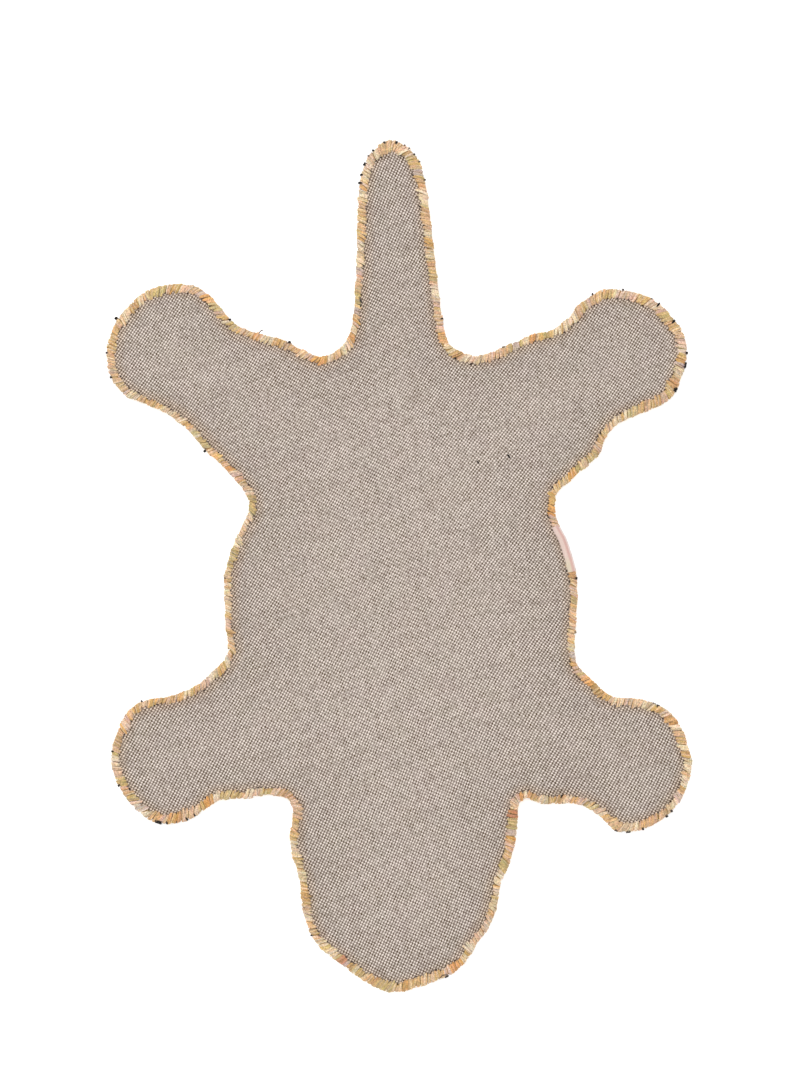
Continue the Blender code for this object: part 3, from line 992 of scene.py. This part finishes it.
def make_backing(rim, inset, bottom, top, rng):
    """The woven cloth, with low waves on its upper side."""
    waves = [
        (rng.uniform(*CLOTH_WAVE_LENGTHS), rng.uniform(0, FULL_TURN), rng.uniform(0, FULL_TURN))
        for _ in range(CLOTH_WAVES)
    ]

    def uneven(x, y, depths):
        lift = sum(
            np.sin(FULL_TURN * (x * np.cos(turn) + y * np.sin(turn)) / length + start)
            for length, turn, start in waves
        )
        return top + CLOTH_UNEVENNESS * lift / 3 * np.clip(depths / LEVEL_BAND, 0, 1)

    def flat(x, y, depths):
        return np.full_like(x, bottom)

    obj, area = slab("backing_cloth_weave", rim, inset, CLOTH_GRID, uneven, flat, rng)
    warp, weft = thread_numbers(*mesh_places(obj)[:, :Z].T)
    add_value(obj, "warp", warp)
    add_value(obj, "weft", weft)
    return dress(obj, backing_material(), "backing_cotton", "backing_cloth"), area * MM * MM


# ---- the whipping
Stitches = namedtuple("Stitches", "along past width bulge lean")


def pick_yarns(rng, count, longest):
    """A colour for each stitch, kept over runs of up to that many stitches."""
    names = list(YARN_SHARES)
    shares = np.array(list(YARN_SHARES.values()))
    picked = []
    while len(picked) < count:
        name = rng.choice(names, p=shares / shares.sum())
        picked += [name] * int(rng.integers(1, longest + 1))
    return np.array([YARN_COLOURS[name] for name in picked[:count]])


def brightnesses(rng, count, tones):
    """How bright each of that many yarns is, as a factor."""
    return rng.normal(tones.middle, tones.spread, (count, 1)).clip(tones.low, tones.high)


def wander(rng, rim, along, hump, spread):
    """Random numbers that change slowly along the rim, in humps of about that length."""
    stops = rim.spaced(hump)
    return rim.between(along, stops, rng.normal(0, spread, len(stops)))


def whipping_sizes(rim, along):
    """How far past the rim the whipping bulges there, and how wide it is."""
    stops = [rim.beside(size) for size in WHIPPING_SIZES]
    past = rim.between(along, stops, [size.past for size in WHIPPING_SIZES])
    wide = rim.between(along, stops, [size.wide for size in WHIPPING_SIZES])
    return past + WHIPPING_OUTSET, wide


def stitch_patches(rng, rim, stitch):
    """The colour that rules at each stitch, and how much it rules."""
    patches = pick_yarns(rng, len(stitch), 3)
    rule = np.full((len(stitch), 1), PATCH_RULE)
    for run in YARN_RUNS:
        off = np.abs((stitch - rim.beside(run) + rim.length / 2) % rim.length - rim.length / 2)
        chosen = (off < run.length / 2) & (rng.random(len(stitch)) < RUN_FILLED)
        patches[chosen] = YARN_COLOURS[run.colour]
        rule[chosen] = RUN_RULE
    return patches, rule


def lay_stitches(rim, label_ends):
    """Where the stitches lie along and past the rim, and how wide, full and slanting each is."""
    rng = random_numbers("stitches")
    along = rim.spaced(STITCH_PITCH)
    count = len(along)
    along = along + rng.uniform(-STITCH_JITTER, STITCH_JITTER, count)
    past, width = whipping_sizes(rim, along)
    width = width + wander(rng, rim, along, HUMP_LENGTH, HUMP_SPREAD)
    width = width + rng.normal(0, WIDTH_SPREAD, count).clip(*WIDTH_LIMITS)
    bulge = wander(rng, rim, along, HUMP_LENGTH, HUMP_SPREAD).clip(*BULGE_LIMITS)
    under_label = (along > label_ends[0]) & (along < label_ends[1])
    bulge[under_label] = FLAT_UNDER_LABEL
    lean = WHIPPING_LEAN + wander(rng, rim, along, LEAN_HUMP, LEAN_WANDER)
    lean = lean + rng.normal(0, LEAN_SPREAD, count)
    return Stitches(along, past, width, bulge, lean)


def make_whipping(rim, stitches, middle, half_height, material):
    """Three yarns side by side in each stitch, wound over the cloth's edge all the way round."""
    rng = random_numbers("whipping")
    count = len(stitches.along)
    stitch_tone = brightnesses(rng, count, STITCH_TONES)
    patches, rule = stitch_patches(rng, rim, stitches.along)
    centre, past, width, bulge, lean = (values[:, None] for values in stitches)
    turn = np.radians(np.linspace(*YARN_WRAP))
    gather = np.interp(turn, turn[::-1][list(YARN_GATHER)], list(YARN_GATHER.values()))
    radii = np.full((count, len(turn)), YARN_RADIUS)
    radii[:, [0, -1]] *= YARN_END_SHARES
    made = []
    for yarn in WHIPPING_YARNS:
        start = centre + rng.uniform(-YARN_JITTER, YARN_JITTER, (count, 1))
        wide = width + rng.normal(0, YARN_WIDTH_SPREAD, (count, 1))
        puff = bulge + yarn.puff + rng.normal(0, YARN_PUFF_SPREAD, (count, 1))
        reach = (wide / 2 + puff) * np.cos(turn) - wide / 2 + past
        rise = (half_height + puff * 0.5) * np.sin(turn) + middle
        travelled = np.where(turn >= 0, reach + wide, wide - reach)
        along = start + lean * (travelled - wide / 2) + yarn.side * YARN_SPACING * gather
        bends = np.sin(turn * YARN_BEND_RATE + rng.uniform(0, FULL_TURN, (count, 1)))
        along = along + bends * rng.uniform(0, YARN_BEND, (count, 1))
        colours = patches * rule + pick_yarns(rng, count, 2) * (1 - rule)
        colours = colours * stitch_tone * brightnesses(rng, count, YARN_TONES)
        paths, sideways = rim.places(along, reach, rise), rim.direction(start[:, 0])
        wound = yarns(f"edge_whipping_{yarn.name}_yarn", paths, radii, sideways, colours)
        made.append(dress(wound, material, "edge_yarn", "edge_whipping"))
    return made


def make_whipping_core(rim, middle, half_height, material):
    """What lies under the outer yarns, so that no gap shows between them. Its ochre is darkened as
    painted shade in the gaps between the stitches.
    """
    stops = np.arange(0, rim.length, BORDER_STEP)
    turn = np.radians(np.linspace(*CORE_WRAP))
    past, wide = whipping_sizes(rim, stops[:, None])
    wide = wide - CORE_NARROWER
    reach = (wide / 2) * np.cos(turn) - wide / 2 + past - CORE_INSET
    rise = (half_height - CORE_LOWER) * np.sin(turn) + middle
    points = rim.places(stops[:, None], reach, rise).reshape(-1, 3)
    index = np.arange(len(points)).reshape(reach.shape)
    faces = tube_faces(index, np.roll(index, -1, axis=0))
    colours = np.tile(YARN_COLOURS["ochre"] * CORE_PAINTED_SHADE, (len(points), 1))
    u = np.repeat(stops, len(turn))
    uvs = np.repeat(np.column_stack([u, np.zeros_like(u)]), 4, axis=0)
    core = make_mesh("edge_whipping_core", points, faces, colours, uvs)
    return dress(core, material, "edge_yarn", "edge_whipping")


def make_stitch_holes(rim, stitches, top, material):
    """Dark pricks where the needle went through the cloth, along the whipping's inner side: thin dark
    yarns laid on the cloth as painted shade of the needle holes.
    """
    rng = random_numbers("pricks")
    along = stitches.along - stitches.lean * stitches.width / 2 + STITCH_PITCH / 2
    beside = np.minimum(stitches.width, np.roll(stitches.width, -1))
    kept = rng.random(len(along)) < PRICKS_SHOWN
    along, beside, past = (values[kept][:, None] for values in (along, beside, stitches.past))
    size = along.shape
    reach = past - beside - rng.uniform(*PRICK_REACH, size)
    share = np.linspace(-0.5, 0.5, 5)
    length = rng.uniform(*PRICK_LENGTH, size)
    slant = rng.uniform(*PRICK_SLANT, size)
    paths = rim.places(along + share * length, reach + share * slant * length, top + 0.2)
    radii = read_at(share, PRICK_PROFILE) * rng.uniform(*PRICK_WIDTH, size)
    holes = yarns("stitch_hole_shade", paths, radii, UP, PRICK_HOLE_SHADE * rng.uniform(*PRICK_SHADE, size))
    return dress(holes, material, "edge_yarn")


def make_fuzz(rim, material):
    """Loose fibres that stand off the whipping."""
    rng = random_numbers("fuzz")
    size = (FUZZ_FIBRES, 1)
    starts = rng.uniform(0, rim.length, size)
    share = np.linspace(0, 1, 4)
    length = rng.uniform(*FUZZ_LENGTH, size)
    reach = rng.uniform(*FUZZ_ROOT, size) + length * share * rng.uniform(*FUZZ_SLANT, size)
    reach = reach + whipping_sizes(rim, starts)[0]
    rise = rng.uniform(*FUZZ_HEIGHT, size) + share**2 * rng.uniform(*FUZZ_RISE, size)
    along = starts + share * rng.uniform(*FUZZ_DRIFT, size)
    paths, sideways = rim.places(along, reach, rise), rim.direction(starts[:, 0])
    radii = np.full(paths.shape[:2], FUZZ_RADIUS)
    picked = pick_yarns(rng, FUZZ_FIBRES, 1)
    colours = FUZZ_YARN_SHARE * picked + (1 - FUZZ_YARN_SHARE) * LINT
    fibres = yarns("edge_fuzz", paths, radii, sideways, colours, sides=3)
    return dress(fibres, material, "edge_yarn")


# ---- the pile
def darkness(x, y):
    """How dark the pile is there, from 0 to 1: it is dark round the dark tufts."""
    dark = np.zeros_like(x)
    for tuft in DARK_TUFTS:
        tuft_x, tuft_y = from_photo(tuft.px, tuft.py)
        reach = DARK_PILE_REACH + tuft.width - np.hypot(x - tuft_x, y - tuft_y)
        dark = np.maximum(dark, np.clip(reach / DARK_PILE_REACH, 0, 0.9))
    return dark


def make_pile(rim, bottom, top, rng):
    """The pile's field: a bed whose under side is the tips of the tufts."""

    def tips(x, y, depths):
        return bottom + rng.uniform(0, PILE_TIP_RELIEF, len(x)) + np.clip((8 - depths) * 0.12, 0, 1)

    def roots(x, y, depths):
        return np.full_like(x, top)

    obj, _ = slab("tufted_pile_field", rim, PILE_INSET, PILE_GRID, roots, tips, rng)
    x, y, _ = mesh_places(obj).T
    add_value(obj, "dark", darkness(x, y))
    return dress(obj, pile_material(), "pile_yarn", "tufted_pile")


def make_rim_tufts(rim, top, material):
    """The outer rows of the pile, which show from the side under the whipping."""
    made = []
    for row in RIM_TUFT_ROWS:
        rng = random_numbers(row.name)
        start = rim.spaced(RIM_TUFT_PITCH, row.shift)[:, None]
        size = start.shape
        start = start + rng.uniform(-0.3, 0.3, size)
        share = np.linspace(0, 1, 6)
        reach = read_at(share, {0: row.root, 0.5: row.belly, 1: row.tip})
        reach = reach + rng.normal(0, 0.25, size) * share
        lowest = rng.uniform(0.1, 1.0, size)
        rise = top + (lowest - top) * share
        paths = rim.places(start + rng.normal(0, 0.5, size) * share, reach, rise)
        radii = read_at(share, RIM_TUFT_PROFILE) * rng.normal(1, 0.08, size)
        colours = pick_yarns(rng, len(start), 4) * brightnesses(rng, len(start), TUFT_TONES)
        dark = darkness(paths[:, 0, X], paths[:, 0, Y]) > rng.random(len(start))
        colours[dark] = DARK_YARN
        sideways = rim.direction(start[:, 0])
        tufts = yarns(f"pile_rim_tufts_{row.name}", paths, radii, sideways, colours)
        made.append(dress(tufts, material, "pile_yarn", "tufted_pile"))
    return made


def make_dark_tufts(rim, middle, half_height, material):
    """The dark tufts that come out under the whipping and fold over its outer side."""
    rng = random_numbers("dark_tufts")
    strands, colours = [], []
    for tuft in DARK_TUFTS:
        count = max(2, round(tuft.width / TUFT_STRAND_WIDTH))
        for place in np.linspace(-0.5, 0.5, count) * (tuft.width - 1.0):
            start = rim.beside(tuft) + place + rng.uniform(*DARK_TUFT_DRIFT)
            past = tuft.past + rng.uniform(*DARK_TUFT_PAST)
            end = tuft.ends + rng.uniform(*DARK_TUFT_END)
            strands.append((start, past, end, rng.uniform(*DARK_TUFT_RADIUS)))
            shade = rng.uniform(*DARK_TUFT_SHADE)
            colours.append((GREY_YARN if tuft.grey else DARK_YARN) * shade)
    starts, pasts, ends, radii = (values[:, None] for values in np.array(strands).T)
    past_rim, wide = whipping_sizes(rim, starts)
    half_width = wide / 2 + TUFTS_STAND_OFF
    last = np.arccos(np.clip(1 - (ends + TUFTS_STAND_OFF) / half_width, -1, 1))
    share = np.linspace(0, 1, 12)
    turn = TUFT_FIRST_TURN + share * (last - TUFT_FIRST_TURN)
    reach = np.cos(turn) * (half_width + pasts) - wide / 2 + past_rim
    rise = middle + np.sin(turn) * (half_height + TUFTS_ABOVE_YARN)
    paths = rim.places(starts + rng.normal(0, 0.3, starts.shape) * share, reach, rise)
    radii = radii * read_at(share, DARK_TUFT_PROFILE)
    tufts = yarns("dark_tufts", paths, radii, rim.direction(starts[:, 0]), np.array(colours))
    return dress(tufts, material, "pile_yarn")


def make_loose_strands(material, top):
    """Single dark strands that lie on the cloth or between the stitches."""
    stops = np.linspace(0, 1, 6)
    arch = (4 * stops * (1 - stops))[:, None]
    paths, radii, colours = [], [], []
    for strand in LOOSE_STRANDS:
        start = np.array([*from_photo(strand.px, strand.py), top + strand.lift])
        end = np.array([*from_photo(strand.end_px, strand.end_py), top + strand.lift])
        bow = np.array([start[Y] - end[Y], end[X] - start[X], 0.0]) * strand.bow
        paths.append(start + (end - start) * stops[:, None] + bow * arch)
        radii.append(strand.thickness / 2 * read_at(stops, STRAND_PROFILE))
        colours.append(GREY_YARN if strand.grey else DARK_YARN)
    strands = yarns("loose_strands", np.array(paths), np.array(radii), UP, np.array(colours))
    return dress(strands, material, "pile_yarn")


# ---- the label
def label_place(rim):
    """How far along the rim the label starts and ends."""
    x, y = rim.ring.T
    flank = (x > FLANK_OUTSIDE_X) & (np.abs(y) < FLANK_REACH)
    return [
        rim.stops[np.argmin(np.where(flank, np.abs(y - end), np.inf))]
        for end in (LABEL_TAILWARD_END, LABEL_HEADWARD_END)
    ]


def make_label(rim, top, ends):
    """The bare label: flat on the whipping, round over the rim, then down the pile's side."""
    rng = random_numbers("label")
    along = np.linspace(*ends, LABEL_STATIONS)
    section = np.array([(place.past, top + place.above) for place in LABEL_SECTION])
    rows, columns = len(along), len(section)
    sag = rng.normal(0, LABEL_SAG, (rows, columns))
    narrowing = np.linspace(LABEL_NARROWING, 1.0, rows)[:, None]
    outer_reach = section[:, 0] * np.where(section[:, 0] < 0, narrowing, 1.0) + sag
    outer_rise = section[:, 1] + sag
    slopes = np.gradient(section, axis=0)
    slopes /= np.linalg.norm(slopes, axis=1, keepdims=True)
    outer = rim.places(along[:, None], outer_reach, outer_rise)
    inner_reach = outer_reach + slopes[:, 1] * LABEL_THICKNESS
    inner_rise = outer_rise - slopes[:, 0] * LABEL_THICKNESS
    inner = rim.places(along[:, None], inner_reach, inner_rise)
    loop = np.concatenate([outer, inner[:, ::-1]], axis=1)
    index = np.arange(2 * rows * columns).reshape(rows, 2 * columns)
    caps = []
    for row, order in ((index[0], 1), (index[-1], -1)):
        for i in range(columns - 1):
            corners = [row[i], row[i + 1], row[-2 - i], row[-1 - i]]
            caps.append(corners[::order])
    faces = np.vstack([tube_faces(index[:-1], index[1:]), caps])
    lengths, across = along - along[0], walked(section)
    u = np.repeat(lengths, 2 * columns)
    v = np.tile(np.concatenate([across, across[::-1]]), rows)
    uvs = np.column_stack([u, v])[faces.ravel()]
    label = make_mesh("bare_label", loop.reshape(-1, 3), faces, uvs=uvs)
    label = dress(label, ribbon_material(), "label_ribbon", "woven_label")
    return label, (across.max() * MM, lengths.max() * MM)


# ---- floor, light and camera
def make_stage():
    bpy.ops.mesh.primitive_plane_add(size=FLOOR_SIZE * MM, location=(0.0, 0.0, -FLOOR_GAP * MM))
    floor = bpy.context.object
    floor.name = "floor"
    floor.data.materials.append(floor_material())
    world = bpy.data.worlds.new("soft_studio")
    world.use_nodes = True
    sky = world.node_tree.nodes["Background"]
    fill_inputs(sky, {"Color": (*WHITE, 1.0), "Strength": SKY_STRENGTH})
    bpy.context.scene.world = world
    lamp = bpy.data.lights.new("soft_box", "AREA")
    lamp.size = LAMP_SIZE * MM
    lamp.energy = LAMP_WATTS
    box = add_object("soft_box", lamp)
    box.location = Vector(LAMP_PLACE) * MM
    box.rotation_euler = box.location.to_track_quat("Z", "Y").to_euler()


def make_camera(top):
    """Looks straight down, with the tail up, at the photograph's scale on the rug's top."""
    view = bpy.data.cameras.new("camera")
    view.lens = CAMERA_LENS
    view.sensor_fit = "VERTICAL"
    view.sensor_height = CAMERA_SENSOR
    view.clip_end = CAMERA_REACH * MM
    camera = add_object("camera", view)
    away = PHOTO_HEIGHT * MM_PER_PIXEL * CAMERA_LENS / CAMERA_SENSOR
    x, y = from_photo(PHOTO_WIDTH / 2, PHOTO_HEIGHT / 2)
    camera.location = (x * MM, y * MM, (top + away) * MM)
    bpy.context.scene.camera = camera
    bpy.context.scene.view_settings.view_transform = "Standard"


def main():
    rng = random_numbers("sheets")
    cloth_low, cloth_high = node_box("backing_cloth")
    whip_low, whip_high = node_box("edge_whipping")
    pile_low, pile_high = node_box("tufted_pile")
    inset = (whip_high - cloth_high)[X]
    rim = Rim(top_outline("backing_cloth"), inset)
    middle = (whip_low[Z] + whip_high[Z]) / 2
    half_height = (whip_high[Z] - whip_low[Z]) / 2 - YARN_RADIUS / 2

    yarn = yarn_material()
    backing, area = make_backing(rim, inset, cloth_low[Z], cloth_high[Z], rng)
    label_ends = label_place(rim)
    stitches = lay_stitches(rim, label_ends)
    sewn_on = make_whipping(rim, stitches, middle, half_height, yarn)
    sewn_on.append(make_whipping_core(rim, middle, half_height, yarn))
    sewn_on.append(make_pile(rim, pile_low[Z], pile_high[Z], rng))
    sewn_on += make_rim_tufts(rim, whip_low[Z] + RIM_TUFT_OVERLAP, yarn)
    sewn_on.append(make_dark_tufts(rim, middle, half_height, yarn))
    sewn_on.append(make_loose_strands(yarn, cloth_high[Z]))
    sewn_on.append(make_fuzz(rim, yarn))
    sewn_on.append(make_stitch_holes(rim, stitches, cloth_high[Z], yarn))
    label, label_size = make_label(rim, whip_high[Z], label_ends)
    make_stage()
    make_camera(cloth_high[Z])


main()
